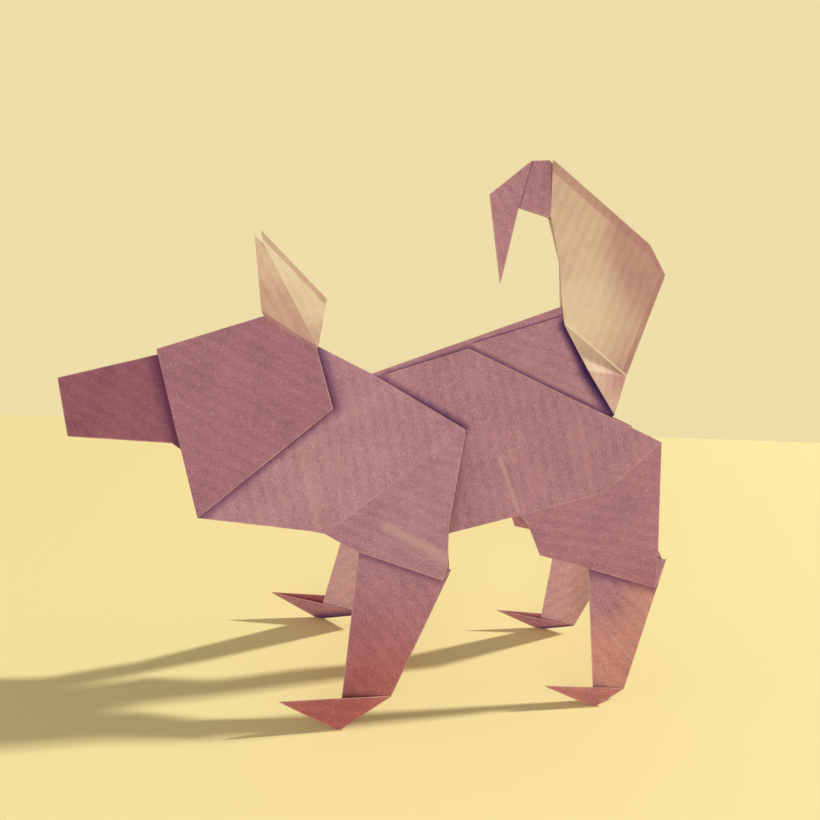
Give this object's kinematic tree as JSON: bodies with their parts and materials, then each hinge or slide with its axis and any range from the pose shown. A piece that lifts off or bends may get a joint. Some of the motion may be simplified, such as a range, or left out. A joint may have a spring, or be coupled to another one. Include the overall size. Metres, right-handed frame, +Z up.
{
  "type": "origami dog",
  "caption": "Standing dog folded from one sheet of ribbed kraft paper, with a blunt muzzle, two upright ears, four splayed feet and a curled tail.",
  "frame": {"origin": "on the table under the middle of the dog", "axes": "+Z up, the nose towards -X, the dog's left side towards -Y"},
  "size_m": [0.1194, 0.0488, 0.1033],
  "materials": {
    "kraft_paper": "matt, fine ribs"
  },
  "bodies": {
    "root": {"folded_dog": "kraft_paper"}
  },
  "joints": []
}
